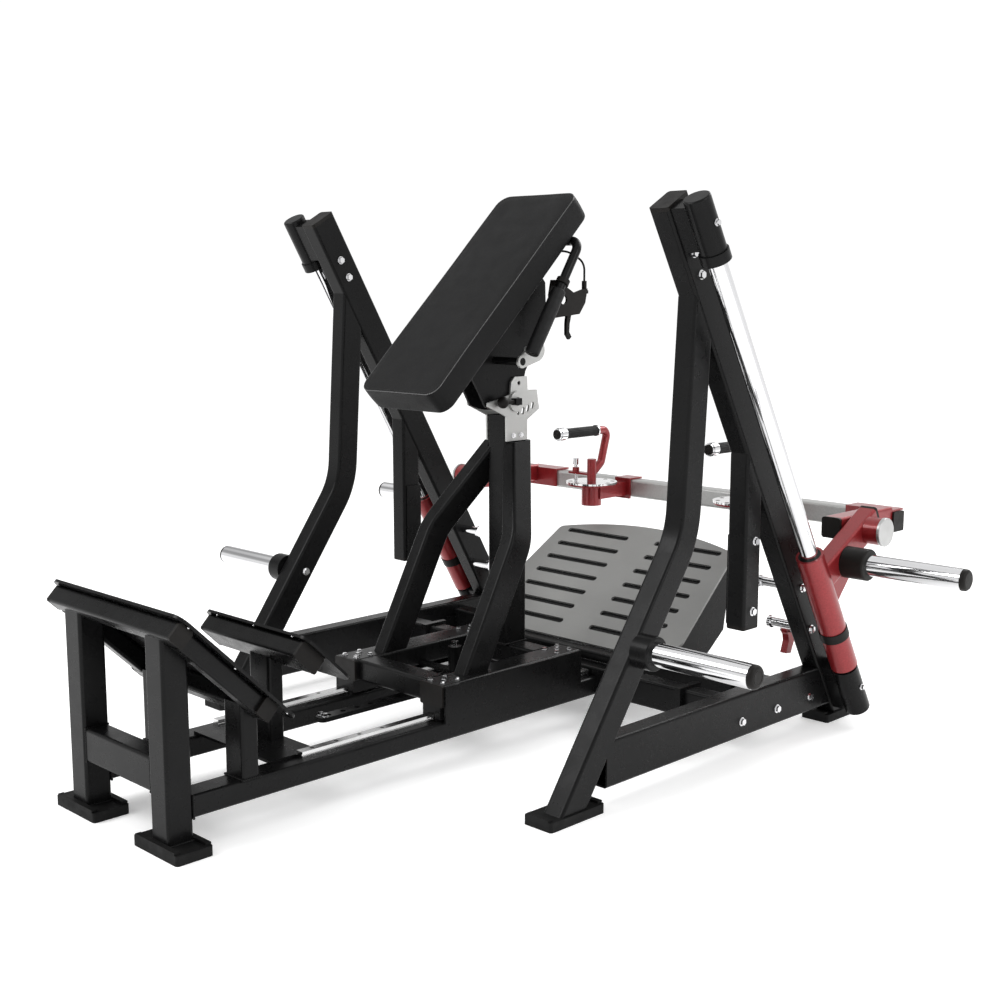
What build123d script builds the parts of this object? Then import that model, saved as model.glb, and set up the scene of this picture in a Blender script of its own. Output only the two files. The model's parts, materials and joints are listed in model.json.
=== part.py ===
from build123d import *
import os
from math import cos, radians, sin, tan

# Plate-loaded leg press machine with a prone pad sled and a rising foot carriage.
# X is across the machine (mirror plane X = 0), +Y runs from the front step to the press
# carriage at the rear, +Z is up and the floor is Z = 0.  All lengths are millimetres.

os.makedirs("parts", exist_ok=True)

# ---------------------------------------------------------------- driving dimensions
WALL = 4                    # wall of the welded box tubes
TUBE_CORNER = 7             # outer corner radius of the box tubes
GAP = 0.5                   # clearance between parts that move past each other
FIT = 0.05                  # radial play of a running fit

SIDE_X = 572                # centre plane of each side frame
SIDE_W = 50                 # width of every side frame tube
SHOE_H = 20                 # height of the floor shoes
RAIL_SLOPE = 60             # slope of the guide rods and side rails, degrees
RAIL_DEPTH = 75
RAIL_EDGE = (105, 1030)     # (Y, Z) on the front lower edge line of the rail
RAIL_TOP = 1197             # Z of that edge where the rail is cut square
LEG_DEPTH = 64
LEG_POINTS = ((-257, 20), (104, 531), (141, 1120))
LEG_BEND = 200
BEAM_Z = (45, 145)
BEAM_Y = (-160, 700)        # run of the beam before its ends are cut to the leg and rail
STUB_Y = (302, 360)         # post that hangs from the rail
STUB_BOTTOM = 290
STUB_PLATE_Z = 503          # top of the plate welded to the post's inner face
STUB_PLATE_T = 5
PLUG_T = 9                  # plastic plug in a rail end
STUB_CAP_T = 10
END_CAP = 7                 # thickness and corner of the small tube end caps
CAP_CORNER = 5
SHOE_X = (527, 602)
FRONT_SHOE_Y = (-330, -171)
REAR_SHOE_Y = (656, 815)
STEP_SHOE_X = (74, 226)
STEP_SHOE_Y = (-930, -850)
FAR = 1500                  # beyond every part, for trimming

ROD_X = 653
ROD_R = 20
ROD_Y0 = 730                # Y where the guide rod axis meets the floor plane
ROD_TOP = 1225              # Z of the top of the rod head on that axis
HEAD_R = 28.5
HEAD_LEN = 120
COLLAR_R = 32
COLLAR_LEN = 23
BRIDGE_RUN = (14, 112)      # web from the rail to the rod head, measured down the rod
BRIDGE_D = 40
BOOT_R = 30
BOOT_WEB = 36
FOOT_TOP = 155
FOOT_END = 43
STOP_PINS = ((532, 355), (576, 249))
BEAM_BOLT_Z = 83
HOOK_YZ = (643, 216)         # pivot of the stop hook
HOOK_X = (478, 496)
HOOK_PIN_R = 5

HORN_R = 25                 # plate sleeve radius, for 50 mm weight discs
HORN_BORE = 21
HORN_COLLAR_R = 37
STORE_YZ = (-60, 315)
STORE_X = (597, 641, 874)   # frame face, collar face, end of the sleeve
LOAD_YZ = (592, 420)
LOAD_X = (678, 737, 966)
HORN_CAP = 12
HORN_CAP_R = 24.5

SLEEVE_R = 32
SLEEVE_TOP = 448.5
SLEEVE_LEN = 331
BAND_AT = (217, 241)        # clamp band on the sleeve, measured down from its top
ARM_SLOPE = 28.4
ARM_W = 46
ARM_D = 60
ARM_X = 655
ARM_REACH = (-200, 44)      # ends of the arm along its line, from the swing bar pivot
GUSSET_HALF = 18
SHAFT_R = 15
HUB_END_X = 715
BUSH_BORE_R = 26
BUSH_LEN = 45
PIVOT = (684, 483)          # swing bar pivot, (Y, Z)
PIVOT_R = 32

BAR_ARM_X = 603
BAR_ARM = 50
BAR_ARM_Y = (645, 878)
BAR_ARM_Z = 485.5
CROSS_Y = 903
CROSS_Z = 472.7
CROSS_HALF = 626
CROSS_W = 50
CLAMP_X = (500, 628)        # angle plate that joins an arm to the cross bar
CLAMP_Z = (450, 503.5)
CLAMP_T = 5
HANDLE_X = 258
HANDLE_Y = 760
DISC_Z = 497
DISC_R = 73
DISC_HOLES = 8
DISC_HOLE_R = 6.5
HOUSING_Z = 433
HOUSING_R = 28.5
SPINDLE_R = 11
PLUNGER_OUT = 60            # from the spindle to the locking plunger
PLUNGER_R = 5
KNOB_Z = (544, 562)
GRIP_Z = 645
GRIP_Y = (638, 779)
GRIP_R = 14.5
GRIP_CORE_R = 9
GRIP_END_Y = 614

PLATE_SLOPE = 35.1
PLATE_AT = (671, 371.3)     # (Y, Z) of the top slot row on the footplate surface
PLATE_T = 6
PLATE_OUTLINE = ((190, -371), (338, -316), (300, 9))  # right half from the foot, from the slots
PLATE_ARCH = 53             # crown of the arched top edge above the top slot row
PLATE_CORNER = 16
SLOT_PITCH = 53.2
SLOT_ROWS = 7
SLOT_X = 155
SLOT_LEN = 218
SLOT_W = 16
BACKING_T = 4               # sheet behind the slots
BACKING_HALF = 284
BACKING_RUN = (-330, 14)    # along the plate, measured from the top slot row

BASE_X = 150                # centre of base tubes, slide rails and sled beams
BASE_Z = (62, 107)
BASE_W = 60
THIN_WALL = 3               # wall of the base, step and sled tubes
POST_Y = (-918, -862)
MID_Y = (-750, -710)
STAND_Y = (-581, -543)      # post under the rear step plate
INDEX_HOLES = 17
INDEX_PITCH = 40
INDEX_START = -400
INDEX_R = 6.5
INDEX_W = 32
INDEX_Z = (113, 123)
INDEX_Y = (-430, 287)
INDEX_END_BOLTS = ((-8, -416), (8, -416))  # (X, Y) of the two bolts at its free end
INDEX_BOLT_R = 6
CROSS_FRONT_Y = (287, 337)
CROSS_REAR_Y = (486, 536)
CROSS_TALL = 66
BEAM_TOP = 128
FLANGE_X = (430, 446)       # pair of joint flanges in each cross beam
STEP_SLOPE = 44
STEP_TUBE = 38
STEP_PLATE_T = 6
STEP_A = (-909.6, 470)      # (Y, Z) of the top edge of the front step plate
STEP_A_LEN = 352
STEP_A_HALF = 239
STEP_A_TUBES = (32, 286)     # distance down the plate to the tubes that carry it
STEP_B = (-589, 364)
STEP_B_TUBE = 44
STEP_B_LEN = 157
STEP_B_HALF = 183.5
STEP_SIDE_X = 200           # side tubes joining the two tubes of the front step
STEP_SIDE_W = 38
STEP_BAR_HALF = (220, 160)   # half length of the tubes under the front and rear step plates
STEP_B_BAR = 70              # breadth of the tube under the rear step plate
STEP_SCREWS_A = tuple((x, down) for x in (-200, 200) for down in (32, 159, 286))
STEP_SCREWS_B = tuple((x, STEP_B_TUBE) for x in (-140, -47, 47, 140))
SCREW_HOLE_R = 3.2
SCREW_SHANK_R = 3
SCREW_HEAD_R = 6
SCREW_HEAD_T = 1.6
SCREW_LEN = 14
STEP_CORNER = 24
STEP_POST_X = (120, 180)
STAND_W = 70
LOWER_TIE_Z = 147           # tie between the front posts
SOLE_Y = (-655, -540)
SOLE_HALF = 138

RAIL_W = 20                 # linear slide rail
RAIL_H = 15
RAIL_Y = (-592, 280)
RAIL_HOLES = 14             # screw wells along the top of each slide rail
RAIL_HOLE_PITCH = 62
RAIL_HOLE_R = 4.5
SLED_Y = (-227, 216)
SLED_TOP = 190
SLED_BEAM = (72, 50)
BEARING_Y = (-194, 174)
BEARING_HALF = (28, 38)
BRAKE_Y = -20               # brake spindle on a strap across the sled
BRAKE_R = 8
BRAKE_STRAP_Z = (143, 149)
BRAKE_TUBE_TOP = 208
BRAKE_GAP = 1.6             # from the brake shoe down to the index bar
BRAKE_SHOE_T = 9
COLUMN = (61, 72)           # pad column section
COLUMN_Y = 156
COLUMN_TOP = 748
HUB = (149, 781)            # pad tilt pivot, (Y, Z)
PAD_SLOPE = 44.2
PAD_LOW = (-196, 817)       # (Y, Z) of the lower edge of the pad surface
PAD_LEN = 645
PAD_W = 252
PAD_T = 60
PAD_CORNER = 30
HUB_R = 10
BARREL_R = 22
CHEEK_X = (22, 28)          # side plates of the pad bracket
WEB_YZ = (215, 960)
DECK_RUN = (150, 520)       # deck under the pad, measured up the pad
DECK_W = 180
HAND_X = 140                # hand bars beside the pad
HAND_R = 11
HAND_LOW = (100, 908)       # (Y, Z) of the peg that holds a hand bar's lower end
LUG_X = (112, 118)
LUG_TIE = (88, 880)
LUG_EYE = (136, 905)
TIE_R = 9
PEG_R = 7
HAND_UP = 562               # where the hand bars leave the pad, measured up the pad
HAND_UNDER = PAD_T + 13
FOAM_R = 17
FOAM_LEN = 172
KNOB_X = 50
KNOB_R = 5
LEVER_X = 105
LEVER_PIVOT = (262, 1005)
LEVER_PIN_R = 5
HOUSING_EYE = (226, 1020)   # round window in the brake housing
CABLE = ((56, 224, 1124), (98, 250, 1137), (105, 312, 1108), (105, 312, 1064))
CABLE_R = 2.5

X_AXIS, Y_AXIS, Z_AXIS = (1, 0, 0), (0, 1, 0), (0, 0, 1)
DOWN_RAIL = Vector(0, cos(radians(RAIL_SLOPE)), -sin(radians(RAIL_SLOPE)))
OFF_RAIL = Vector(0, sin(radians(RAIL_SLOPE)), cos(radians(RAIL_SLOPE)))


# ---------------------------------------------------------------- helpers
def block(x, y, z):
    """Box between the given (low, high) limits on each axis."""
    size = [b - a for a, b in (x, y, z)]
    middle = [(a + b) / 2 for a, b in (x, y, z)]
    return Pos(*middle) * Box(*size)


def bar(start, end, across, size, corner=0.0):
    """Solid straight bar; the first of its two sizes lies along the across direction."""
    start, end = Vector(*start), Vector(*end)
    plane = Plane(origin=start, x_dir=across, z_dir=end - start)
    face = RectangleRounded(*size, corner) if corner else Rectangle(*size)
    return extrude(plane * face, amount=(end - start).length)


def tube(start, end, across, size, wall=WALL):
    """Hollow box tube, open at both ends."""
    inner = [s - 2 * wall for s in size]
    outside = bar(start, end, across, size, TUBE_CORNER)
    return outside - bar(start, end, across, inner, TUBE_CORNER - wall)


def rod(start, end, radius, bore=0.0):
    """Round bar or round tube between two points."""
    start, end = Vector(*start), Vector(*end)
    plane = Plane(origin=start, z_dir=end - start)
    face = Circle(radius)
    if bore:
        face -= Circle(bore)
    return extrude(plane * face, amount=(end - start).length)


def side_plate(points, x):
    """Flat plate parallel to the mirror plane, from (Y, Z) corners, between two X."""
    corners = [(x[0], y, z) for y, z in points]
    face = make_face(Polyline(*corners, close=True))
    return extrude(face, amount=x[1] - x[0], dir=X_AXIS)


def bent(points, radius, across, size, wall=0.0):
    """Box bar swept along a bent route; hollow when a wall is given."""
    path = FilletPolyline(*points, radius=radius)
    plane = Plane(origin=path @ 0, x_dir=across, z_dir=path % 0)
    solid = sweep(plane * RectangleRounded(*size, TUBE_CORNER), path=path)
    if wall:
        inner = [s - 2 * wall for s in size]
        solid -= sweep(plane * RectangleRounded(*inner, TUBE_CORNER - wall), path=path)
    return solid


def round_bent(points, radius, r):
    """Round bar along a route of straight runs and tangent arcs."""
    path = FilletPolyline(*points, radius=radius)
    return sweep(Plane(origin=path @ 0, z_dir=path % 0) * Circle(r), path=path)


def bolt(at, toward, r=8.0, head=6.0):
    """Washer and hexagon head standing on a surface."""
    at, toward = Vector(*at), Vector(*toward).normalized()
    plane = Plane(origin=at, z_dir=toward)
    washer = extrude(plane * Circle(r * 1.25), amount=2)
    hexagon = extrude(plane.offset(2) * RegularPolygon(r, 6), amount=head)
    return washer + hexagon


def flip(shape):
    """The same piece on the other side of the mirror plane."""
    return mirror(shape, about=Plane.YZ)


def both(shapes):
    """Right-hand pieces followed by their left-hand mirror images."""
    shapes = shapes if isinstance(shapes, list) else [shapes]
    return shapes + [flip(s) for s in shapes]


def save(name, shapes):
    """Write one node: one solid, or a group of separate solids."""
    shapes = shapes if isinstance(shapes, list) else [shapes]
    solids = [solid for shape in shapes for solid in shape.solids()]
    whole = solids[0] if len(solids) == 1 else Compound(children=solids)
    whole.label = name
    export_step(whole, f"parts/{name}.step")


def on_rod(z, off=0.0, x=ROD_X):
    """Point on the guide rod axis at height z, moved off square to the rod."""
    return Vector(x, ROD_Y0 - z / tan(radians(RAIL_SLOPE)), z) + OFF_RAIL * off


# ---------------------------------------------------------------- side frames
def rail_line():
    """Centre line of the side rail: its square-cut top and a point below the floor."""
    edge_y = RAIL_EDGE[0] - (RAIL_TOP - RAIL_EDGE[1]) / tan(radians(RAIL_SLOPE))
    top = Vector(SIDE_X, edge_y, RAIL_TOP) + OFF_RAIL * (RAIL_DEPTH / 2)
    return top, top + DOWN_RAIL * FAR


def side_frames():
    top, low = rail_line()
    below = block((0, FAR), (-FAR, FAR), (-FAR, SHOE_H))
    rail_solid = bar(top, low, X_AXIS, (SIDE_W, RAIL_DEPTH))
    rail = tube(top, low, X_AXIS, (SIDE_W, RAIL_DEPTH)) - below

    (y0, z0), (y1, z1), (y2, z2) = LEG_POINTS
    slant = (y1 - y0) / (z1 - z0)
    spare = 60
    foot = (SIDE_X, y0 - spare * slant, z0 - spare)
    route = [foot, (SIDE_X, y1, z1), (SIDE_X, y2, z2)]
    size = (SIDE_W, LEG_DEPTH)
    above_rail = rail_solid.moved(Location(OFF_RAIL * RAIL_DEPTH))
    leg = bent(route, LEG_BEND, X_AXIS, size, WALL) - below - rail_solid - above_rail
    leg_solid = bent(route, LEG_BEND, X_AXIS, size)

    beam_z = sum(BEAM_Z) / 2
    ends = (SIDE_X, BEAM_Y[0], beam_z), (SIDE_X, BEAM_Y[1], beam_z)
    beam = tube(*ends, X_AXIS, (SIDE_W, BEAM_Z[1] - BEAM_Z[0]))
    beam = keep_largest(beam - leg_solid - rail_solid)

    stub_y = sum(STUB_Y) / 2
    stub_end = (SIDE_X, stub_y, STUB_BOTTOM + STUB_CAP_T)
    inside_rail = (SIDE_X, stub_y, 760)
    stub = tube(stub_end, inside_rail, X_AXIS, (SIDE_W, STUB_Y[1] - STUB_Y[0]))
    stub = keep_largest(stub - rail_solid - above_rail)
    inner = SIDE_X - SIDE_W / 2
    stub += block((inner - STUB_PLATE_T, inner), (STUB_Y[0] + 8, STUB_Y[1]),
                  (STUB_BOTTOM + STUB_CAP_T, STUB_PLATE_Z))

    save("right_side_rail", rail)
    save("left_side_rail", flip(rail))
    save("right_front_leg", leg)
    save("left_front_leg", flip(leg))
    save("side_beams", both([beam, stub]))


def keep_largest(shape):
    """The biggest solid left after a trim."""
    return max(shape.solids(), key=lambda s: s.volume)


def shoe(x, y):
    """Floor shoe with a raised lip at both ends."""
    lip, lip_height, inset = 12, 5, 8
    base = block(x, y, (0, SHOE_H))
    base = fillet(base.edges().filter_by(Axis.Z), 6)
    for end in (y[0], y[1] - lip):
        base += block((x[0] + inset, x[1] - inset), (end, end + lip),
                      (SHOE_H, SHOE_H + lip_height))
    return base


def shoes():
    front = shoe(SHOE_X, FRONT_SHOE_Y)
    rear = shoe(SHOE_X, REAR_SHOE_Y)
    step = shoe(STEP_SHOE_X, STEP_SHOE_Y)
    save("foot_shoes", both([front, rear, step]))


def end_plugs():
    """Plastic plugs in the open tube ends and the domed caps of the storage horns."""
    top, _ = rail_line()
    rail_cap = bar(top, top - DOWN_RAIL * PLUG_T, X_AXIS, (SIDE_W, RAIL_DEPTH), TUBE_CORNER)
    stub_y = sum(STUB_Y) / 2
    depth = STUB_Y[1] - STUB_Y[0]
    low, high = (SIDE_X, stub_y, STUB_BOTTOM), (SIDE_X, stub_y, STUB_BOTTOM + STUB_CAP_T)
    stub_cap = bar(low, high, X_AXIS, (SIDE_W, depth), TUBE_CORNER)
    stub_cap = fillet(stub_cap.edges().group_by(Axis.Z)[0], 4)
    caps = [rail_cap, stub_cap, horn_cap(STORE_YZ, STORE_X[2])]
    for centre, half, size in STEP_TUBES:
        low, high = step_point(centre, half), step_point(centre, half + END_CAP)
        caps.append(bar(low, high, STEP_DOWN, size, CAP_CORNER))
    save("end_plugs", both(caps))


def horn_cap(yz, x):
    """Domed plastic cap on the end of a weight horn."""
    cap = rod((x, *yz), (x + HORN_CAP, *yz), HORN_CAP_R)
    return fillet(cap.edges().group_by(Axis.X)[-1], 8)


def collar(yz, x, r):
    """Rubber-faced collar where a weight horn leaves the frame."""
    ring = rod((x[0], *yz), (x[1], *yz), r)
    return fillet(ring.edges().group_by(Axis.X)[-1], 4)


def storage_horns():
    x0, x1, x2 = STORE_X
    save("horn_collars", both(collar(STORE_YZ, (x0, x1), HORN_COLLAR_R - 1)))
    save("storage_horns", both(rod((x1, *STORE_YZ), (x2, *STORE_YZ), HORN_R, HORN_BORE)))


# ---------------------------------------------------------------- guide rods
def guide_rods():
    set_in = 12
    top = on_rod(ROD_TOP) + DOWN_RAIL * set_in
    rod_end = on_rod(FOOT_END + set_in)
    save("guide_rods", both(rod(top, rod_end, ROD_R)))

    tip = on_rod(ROD_TOP)
    head = rod(tip, tip + DOWN_RAIL * HEAD_LEN, HEAD_R)
    head = fillet(head.edges().group_by(Axis.Z)[-1], 4)
    start = tip + DOWN_RAIL * HEAD_LEN
    head += rod(start, start + DOWN_RAIL * COLLAR_LEN, COLLAR_R)
    face = SIDE_X + SIDE_W / 2
    bridge_x = (face + ROD_X) / 2
    bridge_top = Vector(bridge_x, tip.Y, tip.Z)
    bridge = bar(bridge_top + DOWN_RAIL * BRIDGE_RUN[0], bridge_top + DOWN_RAIL * BRIDGE_RUN[1],
                 X_AXIS, (ROD_X - face, BRIDGE_D))
    rod_solid = rod(top, rod_end, ROD_R)
    head = head + bridge - rod_solid

    start, end = on_rod(FOOT_TOP), on_rod(FOOT_END)
    boot = rod(start, end, BOOT_R)
    boot += bar((bridge_x, *list(start)[1:]), (bridge_x, *list(end)[1:]),
                X_AXIS, (ROD_X - face, BOOT_WEB))
    boot -= rod_solid
    save("rod_ends", both([head, boot]))


# ---------------------------------------------------------------- base frame
def base_frame():
    z = sum(BASE_Z) / 2
    height = BASE_Z[1] - BASE_Z[0]
    rail_tube = tube((BASE_X, POST_Y[1], z), (BASE_X, CROSS_FRONT_Y[0], z),
                     X_AXIS, (BASE_W, height), THIN_WALL)
    save("base_tubes", both(rail_tube))

    inner = SIDE_X - SIDE_W / 2
    beams = []
    for y in (CROSS_FRONT_Y, CROSS_REAR_Y):
        mid = sum(y) / 2
        mid_z = BEAM_TOP - CROSS_TALL / 2
        ends = (-inner, mid, mid_z), (inner, mid, mid_z)
        beam = tube(*ends, Y_AXIS, (y[1] - y[0], CROSS_TALL))
        cut = bar(*ends, Y_AXIS, (y[1] - y[0], CROSS_TALL))
        for side in (-1, 1):
            flange = block(FLANGE_X, (y[0] - 14, y[1] + 14), (BASE_Z[0], BEAM_TOP + 6))
            foot = block((inner - 8, inner), (y[0] - 30, y[1] + 50), BASE_Z)
            for plate in (flange, foot):
                beam += (plate if side > 0 else flip(plate)) - cut
        beams.append(beam)
    save("cross_beams", beams)

    left, right = BASE_X - RAIL_W / 2, BASE_X + RAIL_W / 2
    slide = block((left, right), RAIL_Y, (BASE_Z[1], BASE_Z[1] + RAIL_H))
    groove = block((left - 1, left + 2), RAIL_Y, (BASE_Z[1] + 6, BASE_Z[1] + 10))
    slide -= groove
    slide -= groove.moved(Location((RAIL_W - 1, 0, 0)))

    for i in range(RAIL_HOLES):
        at = Pos(BASE_X, RAIL_Y[0] + 32 + i * RAIL_HOLE_PITCH, BASE_Z[1] + RAIL_H)
        slide -= at * Cylinder(RAIL_HOLE_R, RAIL_H)
    save("slide_rails", both(slide))

    strip = block((-INDEX_W / 2, INDEX_W / 2), INDEX_Y, INDEX_Z)
    free_end = strip.edges().filter_by(Axis.Z).group_by(Axis.Y)[0]
    strip = fillet(free_end, INDEX_W / 2 - 2)
    for i in range(INDEX_HOLES):
        strip -= Pos(0, INDEX_START + INDEX_PITCH * i, INDEX_Z[0]) * Cylinder(INDEX_R, 60)
    save("index_bar", strip)


STEP_DOWN = Vector(0, cos(radians(STEP_SLOPE)), -sin(radians(STEP_SLOPE)))
STEP_UNDER = Vector(0, -sin(radians(STEP_SLOPE)), -cos(radians(STEP_SLOPE)))
TUBE_DROP = STEP_PLATE_T + STEP_TUBE / 2


def step_centre(edge, down):
    """(Y, Z) of a tube carrying a step plate, at a distance down the plate."""
    at = Vector(0, *edge) + STEP_DOWN * down + STEP_UNDER * TUBE_DROP
    return at.Y, at.Z


def step_point(centre, x):
    return Vector(x, *centre)


# centre (Y, Z), half length and section of the three tubes under the step plates
STEP_TUBES = (
    (step_centre(STEP_A, STEP_A_TUBES[0]), STEP_BAR_HALF[0], (STEP_TUBE, STEP_TUBE)),
    (step_centre(STEP_A, STEP_A_TUBES[1]), STEP_BAR_HALF[0], (STEP_TUBE, STEP_TUBE)),
    (step_centre(STEP_B, STEP_B_TUBE), STEP_BAR_HALF[1], (STEP_B_BAR, STEP_TUBE)),
)


def on_step(edge, x, down):
    """Point on the upper face of a step plate."""
    return Vector(x, *edge) + STEP_DOWN * down


STEP_SCREW_POINTS = tuple(on_step(STEP_A, *place) for place in STEP_SCREWS_A)
STEP_SCREW_POINTS += tuple(on_step(STEP_B, *place) for place in STEP_SCREWS_B)


def drill_step(shape):
    """Clear the holes of the step plate screws out of a plate or tube."""
    for at in STEP_SCREW_POINTS:
        shape = shape - rod(at - STEP_UNDER * 5, at + STEP_UNDER * (SCREW_LEN + 3), SCREW_HOLE_R)
    return shape


def step_screw(at):
    """Flat-headed screw through a step plate into its tube."""
    head = rod(at - STEP_UNDER * SCREW_HEAD_T, at, SCREW_HEAD_R)
    return head + rod(at, at + STEP_UNDER * SCREW_LEN, SCREW_SHANK_R)


def step_plate(edge, length, half):
    """Thin sloping deck plate with rounded corners."""
    middle = Vector(0, *edge) + STEP_DOWN * (length / 2)
    plane = Plane(origin=middle, x_dir=X_AXIS, z_dir=-STEP_UNDER)
    return extrude(plane * RectangleRounded(2 * half, length, STEP_CORNER), amount=-STEP_PLATE_T)


def step_frame():
    tubes, solids = [], []
    for centre, half, size in STEP_TUBES:
        ends = step_point(centre, -half), step_point(centre, half)
        tubes.append(tube(*ends, STEP_DOWN, size, THIN_WALL))
        solids.append(bar(*ends, STEP_DOWN, size))
    under_a = Plane(origin=Vector(0, *STEP_A), x_dir=X_AXIS, z_dir=-STEP_UNDER)
    above = extrude(under_a * Rectangle(900, 1400), amount=300)
    above += extrude(under_a * Rectangle(900, 1400), amount=-STEP_PLATE_T)

    def post(y, top, foot=SHOE_H):
        size = (STEP_POST_X[1] - STEP_POST_X[0], y[1] - y[0])
        mid = sum(STEP_POST_X) / 2, sum(y) / 2
        shaft = tube((*mid, foot), (*mid, top), X_AXIS, size, THIN_WALL)
        for solid in solids:
            shaft -= solid
        return keep_largest(shaft - above)

    posts = [post(POST_Y, 420), post(MID_Y, 260, foot=BASE_Z[1])]
    mid = sum(STAND_Y) / 2
    stand = tube((0, mid, BASE_Z[1] + 6), (0, mid, 330), X_AXIS,
                 (STAND_W, STAND_Y[1] - STAND_Y[0]), THIN_WALL)
    stand = keep_largest(stand - solids[2])
    save("step_posts", both(posts) + [stand])

    reach, mid = STEP_POST_X[0], sum(POST_Y) / 2
    lower = tube((-reach, mid, LOWER_TIE_Z), (reach, mid, LOWER_TIE_Z), Y_AXIS, (50, 70), THIN_WALL)
    sole = block((-SOLE_HALF, SOLE_HALF), SOLE_Y, (BASE_Z[1], BASE_Z[1] + 6))
    side_tube = tube(step_point(STEP_TUBES[0][0], STEP_SIDE_X) + STEP_DOWN * (STEP_TUBE / 2),
                     step_point(STEP_TUBES[1][0], STEP_SIDE_X) - STEP_DOWN * (STEP_TUBE / 2),
                     X_AXIS, (STEP_SIDE_W, STEP_TUBE), THIN_WALL)
    upper = [drill_step(shape) for shape in tubes + both(side_tube)]
    save("step_bars", upper + [lower, sole])

    plates = (step_plate(STEP_A, STEP_A_LEN, STEP_A_HALF),
              step_plate(STEP_B, STEP_B_LEN, STEP_B_HALF))
    save("step_plates", [drill_step(plate) for plate in plates])


# ---------------------------------------------------------------- footplate
PLATE_UP = Vector(0, cos(radians(PLATE_SLOPE)), sin(radians(PLATE_SLOPE)))
PLATE_OUT = Vector(0, -sin(radians(PLATE_SLOPE)), cos(radians(PLATE_SLOPE)))


FOOTPLATE_PLANE = Plane(origin=(0, *PLATE_AT), x_dir=X_AXIS, z_dir=PLATE_OUT)


def footplate_face():
    """Outline of the footplate: straight sides, cut lower corners, arched top."""
    right = [Vector(x, y) for x, y in PLATE_OUTLINE]
    left = [Vector(-v.X, v.Y) for v in reversed(right)]
    sides = Polyline(*left, *right)
    arch = ThreePointArc(right[-1], Vector(0, PLATE_ARCH), left[0])
    return fillet(make_face(sides + arch).vertices(), PLATE_CORNER)


def footplate():
    plate = extrude(FOOTPLATE_PLANE * footplate_face(), amount=-PLATE_T)
    for row in range(SLOT_ROWS):
        for side in (-1, 1):
            slot = Pos(side * SLOT_X, -row * SLOT_PITCH) * SlotOverall(SLOT_LEN, SLOT_W)
            plate -= extrude(FOOTPLATE_PLANE * slot, amount=PLATE_T * 2, both=True)
    save("footplate", plate)


def footplate_frame():
    def under(y):
        """Height of the footplate's lower face at y."""
        return (PLATE_AT[1] + (y - PLATE_AT[0]) * tan(radians(PLATE_SLOPE))
                - PLATE_T / cos(radians(PLATE_SLOPE)))

    sheet = Pos(0, sum(BACKING_RUN) / 2) * Rectangle(2 * BACKING_HALF,
                                                     BACKING_RUN[1] - BACKING_RUN[0])
    backing = extrude(FOOTPLATE_PLANE.offset(-PLATE_T) * sheet, amount=-BACKING_T)
    low_y, high_y = 392, 672
    outline = ((low_y, under(low_y)), (high_y, under(high_y)), (688, 335), (661, 178),
               (596, BEAM_TOP), (474, BEAM_TOP), (low_y, BEAM_TOP + 14))
    side = side_plate(outline, (278, 284))
    back = side_plate(((high_y, under(high_y)), (688, 335), (661, 178), (656, 182), (682, 335),
                       (668, under(668))), (-278, 278))
    sill = side_plate(((596, BEAM_TOP), (474, BEAM_TOP), (474, BEAM_TOP + 6),
                       (596, BEAM_TOP + 6)), (-278, 278))
    toe = tube((-196, 350, 140), (196, 350, 140), Y_AXIS, (42, 24), 3)
    brace = block((-30, 30), (371, 474), (BEAM_TOP, BEAM_TOP + 6))
    save("footplate_frame", [side + flip(side) + back + sill + backing, toe, brace])


# ---------------------------------------------------------------- fasteners of the frame
def frame_bolts():
    out, into = SIDE_X + SIDE_W / 2, SIDE_X - SIDE_W / 2
    right, left = X_AXIS, (-1, 0, 0)
    through_rail = ((92, 1118), (118, 1074.5))
    bolts = [bolt((out, y, BEAM_BOLT_Z), right) for y in (303, 442, 580)]
    bolts += [bolt((out, y, z), right) for y, z in ((336, 491), (332, 332))]
    bolts += [bolt((out, y, z), right) for y, z in through_rail + STOP_PINS]
    bolts += [bolt((into, y, z), left) for y, z in through_rail + ((-42, 312),)]
    bolts.append(bolt(on_rod(ROD_TOP - 50, x=ROD_X + HEAD_R), right, 6))
    bolts.append(bolt(on_rod(106, x=ROD_X + BOOT_R), right, 6))
    screws = [step_screw(at) for at in STEP_SCREW_POINTS]
    ends = [bolt((x, y, INDEX_Z[1]), (0, 0, 1), INDEX_BOLT_R) for x, y in INDEX_END_BOLTS]
    save("frame_bolts", both(bolts) + screws + ends)


def stop_pins():
    """Round stops on the inner faces of the rails, each with a screwed head."""
    inner = SIDE_X - SIDE_W / 2
    pins = []
    length, head = 58, 8
    for y, z in STOP_PINS:
        pin = rod((inner, y, z), (inner - length, y, z), 11)
        pin += rod((inner - length, y, z), (inner - length - head, y, z), 15)
        pins.append(pin)
    hook_pin = rod((inner, *HOOK_YZ), (HOOK_X[0] - GAP, *HOOK_YZ), HOOK_PIN_R)
    hook_pin += rod((HOOK_X[0] - GAP, *HOOK_YZ), (HOOK_X[0] - 6, *HOOK_YZ), 8)
    save("stop_pins", both(pins + [hook_pin]))


# ---------------------------------------------------------------- press carriage
def arm_line():
    """Start and end of the carriage arm's centre line."""
    along = Vector(0, cos(radians(ARM_SLOPE)), sin(radians(ARM_SLOPE)))
    middle = Vector(ARM_X, *PIVOT)
    return middle + along * ARM_REACH[0], middle + along * ARM_REACH[1], along


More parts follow.
